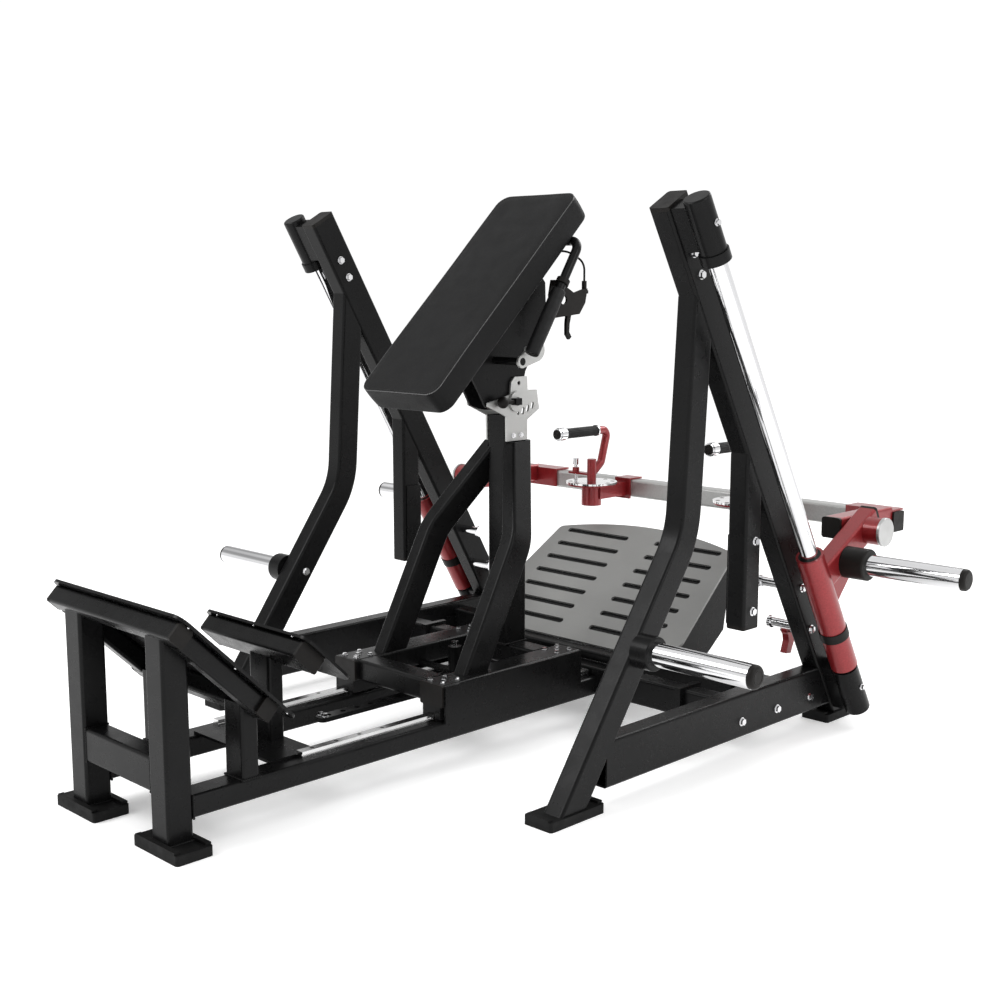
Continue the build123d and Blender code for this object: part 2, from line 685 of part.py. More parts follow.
def carriage():
    top = on_rod(SLEEVE_TOP)
    low = top + DOWN_RAIL * SLEEVE_LEN
    sleeve = rod(top, low, SLEEVE_R, BUSH_BORE_R)
    rings = [rod(top + DOWN_RAIL * a, top + DOWN_RAIL * (a + BUSH_LEN), BUSH_BORE_R, ROD_R + FIT)
             for a in (0, SLEEVE_LEN - BUSH_LEN)]
    band = rod(top + DOWN_RAIL * BAND_AT[0], top + DOWN_RAIL * BAND_AT[1], SLEEVE_R + 2,
               SLEEVE_R)
    save("press_sleeves", both(sleeve))
    save("sleeve_bushes", both(rings + [band]))

    start, end, along = arm_line()
    solid_sleeve = rod(top, low, SLEEVE_R)
    hub = rod((ARM_X + ARM_W / 2, *PIVOT), (HUB_END_X, *PIVOT), PIVOT_R)
    arm = bar(start, end, X_AXIS, (ARM_W, ARM_D), TUBE_CORNER) - solid_sleeve
    arm = keep_largest(arm)
    bolt_axis = rod((BAR_ARM_X, *PIVOT), (FAR, *PIVOT), SHAFT_R)
    gusset = side_plate(((520, 400), (648, 436), (612, 380), (564, 328)),
                        (ARM_X - GUSSET_HALF, ARM_X + GUSSET_HALF))
    gusset = keep_largest(gusset - solid_sleeve)
    arm = arm + gusset + hub - bolt_axis
    save("carriage_arms", both(arm))

    x0, x1, x2 = LOAD_X
    save("load_horns", both(rod((x1, *LOAD_YZ), (x2, *LOAD_YZ), HORN_R, HORN_BORE)))

    arm_cap = bar(end, end + along * 8, X_AXIS, (ARM_W, ARM_D), TUBE_CORNER)
    load_collar = collar(LOAD_YZ, (x0, x1), HORN_COLLAR_R)
    save("load_trim", both([load_collar, horn_cap(LOAD_YZ, x2), arm_cap]))

    cap_x = HUB_END_X + 1
    shaft = rod((BAR_ARM_X - 29, *PIVOT), (cap_x, *PIVOT), SHAFT_R)
    cap = rod((cap_x, *PIVOT), (cap_x + 8, *PIVOT), PIVOT_R + 2)
    cap = fillet(cap.edges().group_by(Axis.X)[-1], 2)
    save("pivot_shafts", both(shaft + cap))


# ---------------------------------------------------------------- swing bar
def swing_bar():
    inner, outer = BAR_ARM_X - BAR_ARM / 2, BAR_ARM_X + BAR_ARM / 2
    y0, y1 = BAR_ARM_Y
    arm = bar((BAR_ARM_X, y0, BAR_ARM_Z), (BAR_ARM_X, y1, BAR_ARM_Z), X_AXIS,
              (BAR_ARM, BAR_ARM), TUBE_CORNER)
    arm -= rod((inner - 5, *PIVOT), (outer + 5, *PIVOT), SHAFT_R + FIT)
    low, high = CLAMP_Z
    clamp = block(CLAMP_X, (y1, y1 + 52), (high - CLAMP_T, high))
    clamp += block(CLAMP_X, (y1 - 6, y1), (low, high)) - arm
    save("bar_arms", both(arm + clamp))

    size = (CROSS_W, CROSS_W)
    cross_end = (CROSS_HALF, CROSS_Y, CROSS_Z)
    cross = tube((-CROSS_HALF, CROSS_Y, CROSS_Z), cross_end, Y_AXIS, size, THIN_WALL)
    save("cross_bar", cross)
    end_cap = bar(cross_end, (CROSS_HALF + END_CAP, CROSS_Y, CROSS_Z), Y_AXIS, size, CAP_CORNER)
    front_cap = bar((BAR_ARM_X, y0 - 8, BAR_ARM_Z), (BAR_ARM_X, y0, BAR_ARM_Z),
                    X_AXIS, (BAR_ARM, BAR_ARM), TUBE_CORNER)
    save("bar_caps", both([end_cap, front_cap]))

    housing = rod((HANDLE_X, HANDLE_Y, HOUSING_Z), (HANDLE_X, HANDLE_Y, DISC_Z - 6), HOUSING_R)
    shelf = Pos(HANDLE_X, HANDLE_Y, DISC_Z - 3.5) * Cylinder(DISC_R - 3, 5)
    front = CROSS_Y - 25
    web = block((HANDLE_X - 34, HANDLE_X + 7), (HANDLE_Y, front - 6), (452, DISC_Z - 6))
    face = block((210, 265), (front - 6, front), (443, DISC_Z + 5.5))
    lid = block((210, 265), (front, front + 50), (CROSS_Z + 25.5, DISC_Z + 5.5))
    mount = housing + web + shelf + face + lid
    mount -= Pos(HANDLE_X, HANDLE_Y, 470) * Cylinder(SPINDLE_R + FIT, 120)
    save("handle_mounts", both(mount))

    disc = Pos(HANDLE_X, HANDLE_Y, DISC_Z + 1.5) * Cylinder(DISC_R, 5)
    disc -= Pos(HANDLE_X, HANDLE_Y, DISC_Z) * Cylinder(SPINDLE_R + FIT, 40)
    for i in range(DISC_HOLES):
        spot = Rot(0, 0, 360 / DISC_HOLES * i) * Pos(PLUNGER_OUT, 0, 0)
        disc -= Pos(HANDLE_X, HANDLE_Y, DISC_Z) * spot * Cylinder(DISC_HOLE_R, 40)
    save("index_discs", both(disc))


def handles():
    base = DISC_Z + 4 + GAP
    axis = Pos(HANDLE_X, HANDLE_Y)
    post = rod((HANDLE_X, HANDLE_Y, base), (HANDLE_X, HANDLE_Y, 565), 13)
    spindle = rod((HANDLE_X, HANDLE_Y, 440), (HANDLE_X, HANDLE_Y, base), SPINDLE_R)
    route = [(HANDLE_X, HANDLE_Y, 522), (HANDLE_X, 800, 552), (HANDLE_X, 827, GRIP_Z),
             (HANDLE_X, GRIP_Y[1] + 1, GRIP_Z)]
    hook = round_bent(route, 18, 11.5)
    lug = block((HANDLE_X, HANDLE_X + 82), (HANDLE_Y - 12, HANDLE_Y + 12), (518, 524))
    lug = fillet(lug.edges().filter_by(Axis.Z), 6)
    boss = axis * Pos(PLUNGER_OUT, 0, 530) * Cylinder(10, 12)
    core = rod((HANDLE_X, GRIP_Y[1] + 3, GRIP_Z), (HANDLE_X, GRIP_END_Y + 10, GRIP_Z), GRIP_CORE_R)
    handle = post + spindle + hook + lug + core + boss
    handle -= axis * Pos(PLUNGER_OUT, 0, 515) * Cylinder(PLUNGER_R + FIT, 80)

    def ring(y, r, bore=GRIP_CORE_R):
        return rod((HANDLE_X, y[1], GRIP_Z), (HANDLE_X, y[0], GRIP_Z), r, bore)

    grip = ring((GRIP_Y[0] + 6, GRIP_Y[1] - 5), GRIP_R)
    flare = ring((GRIP_Y[0], GRIP_Y[0] + 6), GRIP_R + 1)
    flare += ring((GRIP_END_Y + 6, GRIP_Y[0]), GRIP_R + 3.5)
    flare += rod((HANDLE_X, GRIP_END_Y + 10, GRIP_Z), (HANDLE_X, GRIP_END_Y, GRIP_Z), GRIP_R + 1)
    flare -= core
    ferrule = ring((GRIP_Y[1] - 5, GRIP_Y[1]), GRIP_R + 1.5)

    at = (HANDLE_X + PLUNGER_OUT, HANDLE_Y)
    pin = rod((*at, base), (*at, KNOB_Z[0]), PLUNGER_R)
    pin += rod((*at, KNOB_Z[0]), (*at, KNOB_Z[1]), 9)
    pieces = {"handle": [handle], "grip": [grip], "grip_end": [flare, ferrule], "plunger": [pin]}
    for label, shapes in pieces.items():
        save(f"right_{label}", shapes)
        save(f"left_{label}", [flip(shape) for shape in shapes])


# ---------------------------------------------------------------- sled
def sled():
    y0, y1 = SLED_Y
    width, height = SLED_BEAM
    z = SLED_TOP - height / 2
    beam = tube((BASE_X, y0, z), (BASE_X, y1, z), X_AXIS, (width, height))
    inner = BASE_X - width / 2
    cross = [tube((-inner, y, z), (inner, y, z), Y_AXIS, (60, height)) for y in (-190, COLUMN_Y)]
    strap = block((-inner - WALL, inner + WALL), (BRAKE_Y - 14, BRAKE_Y + 14), BRAKE_STRAP_Z)
    strap += rod((0, BRAKE_Y, BRAKE_STRAP_Z[1]), (0, BRAKE_Y, BRAKE_TUBE_TOP), BRAKE_R + 8)
    strap -= rod((0, BRAKE_Y, 0), (0, BRAKE_Y, FAR), BRAKE_R + FIT)
    frame = beam + flip(beam) + cross[0] + cross[1] + strap
    cover_x = (BASE_X + width / 2, BASE_X + width / 2 + 5)
    cover = block(cover_x, SLED_Y, (104, SLED_TOP - 2))
    frame += cover + flip(cover)
    save("sled_frame", frame)

    low = BASE_Z[1] + RAIL_H
    slot = block((BASE_X - RAIL_W / 2 - GAP, BASE_X + RAIL_W / 2 + GAP), (-400, 400),
                 (90, low + GAP))
    half_x, half_y = BEARING_HALF
    blocks = []
    for y in BEARING_Y:
        body = block((BASE_X - half_x, BASE_X + half_x), (y - half_y, y + half_y),
                     (BASE_Z[1] + 4, SLED_TOP - height))
        blocks.append(body - slot)
    save("bearing_blocks", both(blocks))

    column = tube((0, COLUMN_Y, SLED_TOP), (0, COLUMN_Y, COLUMN_TOP), X_AXIS, COLUMN, THIN_WALL)
    save("pad_column", column)
    solid_column = block((-COLUMN[0] / 2, COLUMN[0] / 2),
                         (COLUMN_Y - COLUMN[1] / 2, COLUMN_Y + COLUMN[1] / 2), (150, 800))
    route = [(140, -122, 150), (140, 47, 470), (0, 188, 724)]
    leg = bent(route, 120, X_AXIS, (40, 68), 3)
    leg = leg - solid_column - block((-400, 400), (-400, 400), (0, SLED_TOP))
    leg = keep_largest(leg - block((-80, 80), (50, 300), (685, 900)))
    save("pad_legs", both(leg))

    outline = ((119, 687), (189, 687), (189, 735), (230, 759), (222, 805), (190, 806),
               (188, 839), (146, 839), (134, 827), (131, 798), (90, 788), (56, 782),
               (56, 774), (118, 746))
    face_x = COLUMN[0] / 2
    head = side_plate(outline, (face_x, face_x + 5))
    head -= rod((0, *HUB), (60, *HUB), HUB_R + FIT)
    for y, z_at in ((174, 757), (190, 762), (206, 768)):
        cut = Plane(origin=(face_x - 2, y, z_at), x_dir=Y_AXIS, z_dir=X_AXIS)
        head -= extrude(cut * Rot(0, 0, 76) * SlotOverall(18, 9), amount=12)
    head -= rod((0, 160, 824), (60, 160, 824), 5)
    head -= rod((0, 158, 752), (60, 158, 752), 4)
    save("head_plates", both(head))

    bolts = []
    for y in BEARING_Y:
        for dx, dy in ((0, 0), (-20, -22), (20, -22), (-20, 22), (20, 22)):
            bolts.append(bolt((BASE_X + dx, y + dy, SLED_TOP), Z_AXIS, 5, 4))
    bolts += [bolt((face_x + 5, y, 700), X_AXIS, 5, 4) for y in (140, 166)]
    cap = bar((BASE_X, y0 - 6, z), (BASE_X, y0, z), X_AXIS, (width, height), CAP_CORNER)
    save("sled_bolts", both(bolts))
    save("sled_caps", both(cap))
    save("sled_brake", brake_block())


def brake_block():
    """Brake shoe over the index bar, on a spindle through the strap's upright tube."""
    shoe_z = INDEX_Z[1] + BRAKE_GAP
    top = shoe_z + BRAKE_SHOE_T
    friction_shoe = block((-14, 14), (BRAKE_Y - 18, BRAKE_Y + 18), (shoe_z, top))
    return friction_shoe + rod((0, BRAKE_Y, top), (0, BRAKE_Y, BRAKE_TUBE_TOP + 12), BRAKE_R)


# ---------------------------------------------------------------- tilting pad
PAD_UP = Vector(0, cos(radians(PAD_SLOPE)), sin(radians(PAD_SLOPE)))
PAD_UNDER = Vector(0, sin(radians(PAD_SLOPE)), -cos(radians(PAD_SLOPE)))


def pad_point(x, up, under):
    """Point given by its distance up the pad and under its top surface."""
    return Vector(x, *PAD_LOW) + PAD_UP * up + PAD_UNDER * under


def pad():
    plane = Plane(origin=pad_point(0, PAD_LEN / 2, 0), x_dir=X_AXIS, z_dir=-PAD_UNDER)
    cushion = extrude(plane * RectangleRounded(PAD_W, PAD_LEN, PAD_CORNER), amount=-PAD_T)
    save("pad", cushion)


def pad_bracket():
    """Welded carrier under the pad: cheeks, deck, hub and the tie for the hand bar lugs."""
    foot, head = pad_point(0, DECK_RUN[0] + 30, PAD_T), pad_point(0, DECK_RUN[1] - 20, PAD_T)
    outline = ((foot.Y, foot.Z), (36, 806), (56, 772), (100, 760), (140, 759), (166, 764),
               (190, 851), (262, 962), (258, 1060), (head.Y, head.Z))
    near, far = CHEEK_X
    cheek = side_plate(outline, CHEEK_X) + rod((near, *HUB), (far, *HUB), BARREL_R)
    barrel = rod((-near, *HUB), (near, *HUB), BARREL_R)
    web = rod((-near, *WEB_YZ), (near, *WEB_YZ), 12)
    deck = bar(pad_point(0, DECK_RUN[0], PAD_T + 3), pad_point(0, DECK_RUN[1], PAD_T + 3),
               X_AXIS, (DECK_W, 6))
    shaft = rod((-44, *HUB), (44, *HUB), HUB_R)
    clip = bar(pad_point(45, 515, PAD_T), pad_point(45, 515, PAD_T + 24), X_AXIS, (22, 18))
    cable_end = Vector(*CABLE[0])
    toward = (Vector(*CABLE[1]) - cable_end).normalized()
    clip -= rod(cable_end + toward * 6, cable_end - toward * 12, CABLE_R + FIT)
    tie = rod((-LUG_X[1], *LUG_TIE), (LUG_X[1], *LUG_TIE), TIE_R)
    knob_z = HUB[1] + 1
    holder = block((42, 58), (128, 148), (774, 790))
    holder -= rod((KNOB_X, 100, knob_z), (KNOB_X, 160, knob_z), KNOB_R + FIT)
    bracket = cheek + flip(cheek) + barrel + web + deck + shaft + clip + tie + holder
    cushion = bar(pad_point(0, -100, PAD_T / 2), pad_point(0, PAD_LEN + 100, PAD_T / 2),
                  X_AXIS, (PAD_W + 60, PAD_T))
    save("pad_bracket", bracket - cushion)

    lug = rod((LUG_X[0], *LUG_TIE), (LUG_X[1], *LUG_TIE), 15)
    lug += rod((LUG_X[0], *LUG_EYE), (LUG_X[1], *LUG_EYE), 25)
    lug += side_plate(((86, 895), (124, 927), (146, 881), (92, 866)), LUG_X)
    lug -= tie
    lug += rod((LUG_X[1] - 2, *HAND_LOW), (HAND_X, *HAND_LOW), PEG_R)
    washer = rod((36.5, *HUB), (42, *HUB), 24, HUB_R)
    save("pad_lugs", both([lug, washer]))


def hand_bars():
    """Round hand bars from under the pad down to the lugs, with foam grips."""
    inner = pad_point(70, HAND_UP, HAND_UNDER)
    low, slope, top = hand_line()
    end = low - slope * 12
    hoop = round_bent([inner, top, end], 30, HAND_R)
    mount = bar(pad_point(70, HAND_UP, PAD_T), pad_point(70, HAND_UP, PAD_T + 26),
                X_AXIS, (24, 30))
    peg = rod((LUG_X[1] - 2, *HAND_LOW), (HAND_X, *HAND_LOW), PEG_R)
    foam = rod(end, end + slope * FOAM_LEN, FOAM_R, HAND_R)
    save("hand_bars", both(hoop + mount - peg))
    save("hand_grips", both(foam - peg))


def hand_line():
    """Low end, direction and top of the right hand bar's straight run."""
    low, top = Vector(HAND_X, *HAND_LOW), pad_point(HAND_X, HAND_UP, HAND_UNDER)
    return low, (top - low).normalized(), top


def tilt_knob():
    """Pull knob that locks the pad tilt, sliding along Y."""
    z = HUB[1] + 1
    stem = rod((KNOB_X, 104, z), (KNOB_X, 146, z), KNOB_R)
    knob = Pos(KNOB_X, 92, z) * Sphere(14)
    save("tilt_knob", stem + knob)


def brake():
    """Hand lever with its housing on the right hand bar, and the cable from the pad."""
    plate_x = (LEVER_X + 8, LEVER_X + 13)
    housing = side_plate(((196, 978), (282, 986), (302, 1012), (310, 1046), (292, 1044),
                          (262, 1036), (204, 1066), (184, 1066), (176, 1030)), plate_x)
    housing -= rod((plate_x[0] - 1, *HOUSING_EYE), (plate_x[1] + 1, *HOUSING_EYE), 11)
    housing += rod((plate_x[0], *LEVER_PIVOT), (LEVER_X - 10, *LEVER_PIVOT), LEVER_PIN_R)
    low, slope, _ = hand_line()
    ring = rod(low + slope * (FOAM_LEN + 4), low + slope * (FOAM_LEN + 16), FOAM_R - 1)
    arm = block((plate_x[1], HAND_X - 8), (186, 202), (1052, 1064))
    housing += ring + arm - rod(low, low + slope * (FOAM_LEN + 88), HAND_R)
    gland = Vector(*CABLE[-1])
    housing += rod((gland.X, gland.Y, 1036), gland, 6)
    housing += block((LEVER_X - 6, LEVER_X + 9), (gland.Y - 7, gland.Y + 5), (1034, 1042))
    blade_x = (LEVER_X - 4, LEVER_X + 4)
    lever = rod((blade_x[0], *LEVER_PIVOT), (blade_x[1], *LEVER_PIVOT), 13)
    lever += side_plate(((252, 1002), (266, 998), (257, 962), (256, 944), (264, 932), (256, 926),
                         (246, 938), (246, 964)), blade_x)
    lever -= rod((blade_x[0] - 1, *LEVER_PIVOT), (blade_x[1] + 1, *LEVER_PIVOT),
                 LEVER_PIN_R + FIT)
    save("brake_housing", housing)
    save("brake_lever", lever)

    radii = cord_radii(CABLE)
    print("brake cable radii", [round(r, 1) for r in radii])
    path = FilletPolyline(*CABLE, radius=radii)
    section = Plane(origin=path @ 0, z_dir=path % 0) * Circle(CABLE_R)
    save("brake_cable", sweep(section, path=path))


def cord_radii(route):
    """Largest even arcs: 0.45 of the shorter run over the tangent of half the turn."""
    points = [Vector(*p) for p in route]
    radii = []
    for a, b, c in zip(points, points[1:], points[2:]):
        turn = radians((b - a).get_angle(c - b))
        radii.append(0.45 * min((b - a).length, (c - b).length) / tan(turn / 2))
    return radii


# ---------------------------------------------------------------- stop hooks
def stop_hooks():
    """Swinging hooks that catch the carriage, one on each lower stop pin's bracket."""
    low, high = HOOK_X
    hook = side_plate(((632, 226), (654, 223), (664, 190), (650, 158), (630, 160), (640, 190)),
                      HOOK_X)
    hook += rod((low, *HOOK_YZ), (high, *HOOK_YZ), 12)
    hook -= rod((low - 10, *HOOK_YZ), (high + 10, *HOOK_YZ), HOOK_PIN_R + FIT)
    save("right_stop_hook", hook)
    save("left_stop_hook", flip(hook))


def build():
    side_frames()
    shoes()
    end_plugs()
    storage_horns()
    guide_rods()
    base_frame()
    step_frame()
    footplate()
    footplate_frame()
    frame_bolts()
    stop_pins()
    carriage()
    swing_bar()
    handles()
    sled()
    pad()
    pad_bracket()
    hand_bars()
    tilt_knob()
    brake()
    stop_hooks()


build()
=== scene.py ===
import json
import math

import bpy
import bmesh
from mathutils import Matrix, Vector


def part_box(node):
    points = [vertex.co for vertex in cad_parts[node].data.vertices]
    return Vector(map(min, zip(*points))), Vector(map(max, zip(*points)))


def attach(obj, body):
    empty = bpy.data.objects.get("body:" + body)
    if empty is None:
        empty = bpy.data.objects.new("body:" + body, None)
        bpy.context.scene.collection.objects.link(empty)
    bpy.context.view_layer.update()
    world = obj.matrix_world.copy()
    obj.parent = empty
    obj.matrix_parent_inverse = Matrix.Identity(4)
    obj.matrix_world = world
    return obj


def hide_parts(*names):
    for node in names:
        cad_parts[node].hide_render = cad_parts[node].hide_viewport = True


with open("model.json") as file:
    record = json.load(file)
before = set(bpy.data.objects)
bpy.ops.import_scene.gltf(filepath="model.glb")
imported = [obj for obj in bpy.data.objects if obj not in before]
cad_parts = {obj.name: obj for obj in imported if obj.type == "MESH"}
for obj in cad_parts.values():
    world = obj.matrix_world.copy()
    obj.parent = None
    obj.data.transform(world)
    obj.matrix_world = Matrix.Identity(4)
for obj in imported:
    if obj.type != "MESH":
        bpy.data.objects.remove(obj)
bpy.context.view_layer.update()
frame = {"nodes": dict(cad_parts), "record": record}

SIDES = ((1, "right"), (-1, "left"))

# ------------------------------------------------------------------ measures (metres)
PAD_SLOPE = math.radians(44.2)
PAD_LOW = Vector((0, -0.196, 0.817))
PAD_LENGTH, PAD_WIDTH, PAD_THICK = 0.645, 0.252, 0.060
PAD_CORNER = 0.030
PAD_UP = Vector((0, math.cos(PAD_SLOPE), math.sin(PAD_SLOPE)))
PAD_UNDER = Vector((0, math.sin(PAD_SLOPE), -math.cos(PAD_SLOPE)))

HAND_X = 0.140
HAND_LOW = Vector((HAND_X, 0.100, 0.908))
HAND_TOP = PAD_LOW + PAD_UP * 0.562 + PAD_UNDER * 0.073 + Vector((HAND_X, 0, 0))
HANDLE_X, GRIP_Z = 0.258, 0.645
TO_FRONT = Vector((0, -1, 0))


# ------------------------------------------------------------------ materials
class Nodes:
    """A small wrapper round one material's node tree."""

    def __init__(self, name):
        self.material = bpy.data.materials.new(name)
        self.material.use_nodes = True
        self.tree = self.material.node_tree
        self.shader = self.tree.nodes["Principled BSDF"]
        self.where = self.add("ShaderNodeTexCoord").outputs["Object"]

    def add(self, kind, **settings):
        node = self.tree.nodes.new(kind)
        for key, value in settings.items():
            setattr(node, key, value)
        return node

    def link(self, source, target):
        self.tree.links.new(source, target)

    def set(self, **values):
        """Shader inputs by name, with underscores for spaces."""
        for key, value in values.items():
            self.shader.inputs[key.replace("_", " ")].default_value = value
        return self

    def noise(self, scale, detail=4.0, rough=0.5, stretch=(1, 1, 1)):
        mapping = self.add("ShaderNodeMapping")
        mapping.inputs["Scale"].default_value = stretch
        self.link(self.where, mapping.inputs["Vector"])
        noise = self.add("ShaderNodeTexNoise")
        noise.inputs["Scale"].default_value = scale
        noise.inputs["Detail"].default_value = detail
        noise.inputs["Roughness"].default_value = rough
        self.link(mapping.outputs["Vector"], noise.inputs["Vector"])
        return noise.outputs["Fac"]

    def ramp(self, source, low, high, at=(0.3, 0.7)):
        """Ramp between two colours, driven by a texture value."""
        ramp = self.add("ShaderNodeValToRGB")
        ramp.color_ramp.elements[0].position = at[0]
        ramp.color_ramp.elements[1].position = at[1]
        ramp.color_ramp.elements[0].color = (*low, 1)
        ramp.color_ramp.elements[1].color = (*high, 1)
        self.link(source, ramp.inputs["Fac"])
        return ramp.outputs["Color"]

    def colour(self, source, low, high):
        self.link(self.ramp(source, low, high), self.shader.inputs["Base Color"])

    def roughness(self, source, low, high):
        grey = self.ramp(source, (low,) * 3, (high,) * 3)
        self.link(grey, self.shader.inputs["Roughness"])

    def bump(self, source, strength, distance):
        """Relief on top of any that the shader already has."""
        bump = self.add("ShaderNodeBump")
        bump.inputs["Strength"].default_value = strength
        bump.inputs["Distance"].default_value = distance
        self.link(source, bump.inputs["Height"])
        previous = self.shader.inputs["Normal"]
        if previous.is_linked:
            self.link(previous.links[0].from_socket, bump.inputs["Normal"])
        self.link(bump.outputs["Normal"], previous)


def black_paint():
    n = Nodes("powder_coat_black").set(Metallic=0.0, Specular_IOR_Level=0.125)
    n.colour(n.noise(7, 5), (0.0038, 0.0038, 0.0039), (0.0064, 0.0064, 0.0066))
    n.roughness(n.noise(30, 3), 0.24, 0.33)
    n.bump(n.noise(900, 2, 0.6), 0.12, 0.0004)
    return n.material


def red_paint():
    n = Nodes("gloss_paint_red").set(Metallic=0.45, Coat_Weight=0.40, Coat_Roughness=0.05)
    n.colour(n.noise(260, 4, 0.7), (0.185, 0.006, 0.008), (0.270, 0.014, 0.018))
    n.roughness(n.noise(18, 3), 0.32, 0.44)
    n.bump(n.noise(700, 2), 0.08, 0.0003)
    return n.material


def silver_paint():
    n = Nodes("silver_paint").set(Metallic=0.75)
    n.colour(n.noise(300, 4, 0.7), (0.36, 0.36, 0.355), (0.46, 0.46, 0.45))
    n.roughness(n.noise(20, 3), 0.34, 0.44)
    n.bump(n.noise(800, 2), 0.08, 0.0003)
    return n.material


def silver_plate():
    n = Nodes("brushed_plate").set(Metallic=0.8)
    n.colour(n.noise(4, 5), (0.44, 0.44, 0.43), (0.52, 0.52, 0.51))
    brushed = n.noise(16, 6, 0.7, stretch=(0.6, 60, 60))
    n.roughness(brushed, 0.36, 0.52)
    n.bump(brushed, 0.10, 0.0003)
    return n.material


def satin_plate():
    n = Nodes("satin_plate").set(Metallic=0.55)
    n.colour(n.noise(4, 5), (0.228, 0.228, 0.223), (0.280, 0.280, 0.272))
    brushed = n.noise(14, 6, 0.7, stretch=(0.5, 60, 60))
    n.roughness(brushed, 0.40, 0.54)
    n.bump(brushed, 0.08, 0.0003)
    return n.material


def bright_steel():
    n = Nodes("ground_steel").set(Metallic=1.0)
    n.colour(n.noise(9, 4), (0.58, 0.58, 0.58), (0.70, 0.70, 0.70))
    ground = n.noise(20, 6, 0.6, stretch=(40, 1, 40))
    n.roughness(ground, 0.10, 0.20)
    n.bump(ground, 0.05, 0.0002)
    return n.material


def turned_steel():
    n = Nodes("turned_steel").set(Metallic=0.85)
    n.colour(n.noise(12, 4), (0.42, 0.42, 0.415), (0.52, 0.52, 0.515))
    turned = n.noise(30, 5, 0.6, stretch=(8, 1, 1))
    n.roughness(turned, 0.30, 0.44)
    n.bump(turned, 0.06, 0.0002)
    return n.material


def chrome():
    n = Nodes("hard_chrome").set(Metallic=1.0)
    n.colour(n.noise(5, 3), (0.66, 0.66, 0.67), (0.76, 0.76, 0.77))
    n.roughness(n.noise(40, 4), 0.05, 0.11)
    return n.material


def black_plastic():
    n = Nodes("moulded_plastic_black").set(Metallic=0.0, Specular_IOR_Level=0.15)
    n.colour(n.noise(12, 4), (0.0050, 0.0044, 0.0040), (0.0092, 0.0080, 0.0072))
    n.roughness(n.noise(60, 4), 0.38, 0.52)
    n.bump(n.noise(1400, 3, 0.7), 0.16, 0.0003)
    return n.material


def black_rubber():
    n = Nodes("rubber_black").set(Metallic=0.0, Specular_IOR_Level=0.15)
    n.colour(n.noise(14, 5), (0.0032, 0.0032, 0.0032), (0.0064, 0.0064, 0.0064))
    n.roughness(n.noise(50, 4), 0.55, 0.72)
    n.bump(n.noise(1100, 3), 0.2, 0.0004)
    return n.material


def grip_rubber():
    n = Nodes("grip_rubber").set(Metallic=0.0, Specular_IOR_Level=0.22)
    n.colour(n.noise(30, 5), (0.0035, 0.0035, 0.0035), (0.0075, 0.0075, 0.0075))
    n.roughness(n.noise(80, 4), 0.5, 0.66)
    n.bump(n.noise(1500, 3), 0.25, 0.0004)
    return n.material


def grip_foam():
    n = Nodes("closed_foam").set(Metallic=0.0, Specular_IOR_Level=0.25)
    n.colour(n.noise(40, 5), (0.0030, 0.0030, 0.0032), (0.0062, 0.0062, 0.0066))
    n.roughness(n.noise(60, 4), 0.48, 0.62)
    n.bump(n.noise(700, 4, 0.7), 0.3, 0.0005)
    return n.material


def black_vinyl():
    n = Nodes("upholstery_black").set(Metallic=0.0, Specular_IOR_Level=0.13)
    n.colour(n.noise(6, 5), (0.0046, 0.0046, 0.0048), (0.0072, 0.0072, 0.0075))
    n.roughness(n.noise(24, 4), 0.42, 0.54)
    cells = n.add("ShaderNodeTexVoronoi", feature="DISTANCE_TO_EDGE")
    cells.inputs["Scale"].default_value = 620
    n.link(n.where, cells.inputs["Vector"])
    grain = n.ramp(cells.outputs["Distance"], (0, 0, 0), (1, 1, 1), (0.0, 0.25))
    n.bump(grain, 0.22, 0.0005)
    n.bump(n.noise(9, 4), 0.25, 0.004)
    return n.material


def thread():
    n = Nodes("seam_thread").set(Metallic=0.0)
    n.colour(n.noise(400, 3), (0.010, 0.010, 0.010), (0.020, 0.020, 0.020))
    n.roughness(n.noise(200, 3), 0.5, 0.7)
    return n.material


def piping_vinyl_painted_highlight():
    n = Nodes("piping_painted_highlight").set(Metallic=0.0, Specular_IOR_Level=0.7)
    # grey well above the upholstery black: a painted highlight, the glint along the pad's top edge
    # painted into the piping
    n.colour(n.noise(40, 4), (0.030, 0.030, 0.030), (0.050, 0.050, 0.050))
    n.roughness(n.noise(90, 3), 0.22, 0.34)
    n.bump(n.noise(500, 3), 0.10, 0.0003)
    return n.material


MATERIALS = {
    "black_paint": black_paint(),
    "red_paint": red_paint(),
    "silver_paint": silver_paint(),
    "silver_plate": silver_plate(),
    "satin_plate": satin_plate(),
    "bright_steel": bright_steel(),
    "chrome": chrome(),
    "black_plastic": black_plastic(),
    "black_rubber": black_rubber(),
    "grip_rubber": grip_rubber(),
    "grip_foam": grip_foam(),
    "black_vinyl": black_vinyl(),
}
NODE_FINISHES = {"pivot_shafts": turned_steel()}
THREAD = thread()
# piping finish, whose lighter grey is a painted highlight along the seam
PIPING_PAINTED_HIGHLIGHT = piping_vinyl_painted_highlight()


def dress_nodes():
    """Give every CAD node the finish of its material slot."""
    for subpart in frame["record"]["subparts"]:
        name = subpart["node"]
        node = frame["nodes"][name]
        node.data.materials.clear()
        node.data.materials.append(NODE_FINISHES.get(name, MATERIALS[subpart["material_slot"]]))


# ------------------------------------------------------------------ mesh helpers
def add_piece(name, verts, faces, slot, body, material=None):
    """New smooth mesh piece riding on a body, in the finish of its slot unless one is given."""
    mesh = bpy.data.meshes.new(name)
    mesh.from_pydata([tuple(v) for v in verts], [], faces)
    mesh.materials.append(material or MATERIALS[slot])
    mesh.validate()
    mesh.update()
    piece = bpy.data.objects.new(name, mesh)
    bpy.context.scene.collection.objects.link(piece)
    for polygon in mesh.polygons:
        polygon.use_smooth = True
    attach(piece, body)
    return piece


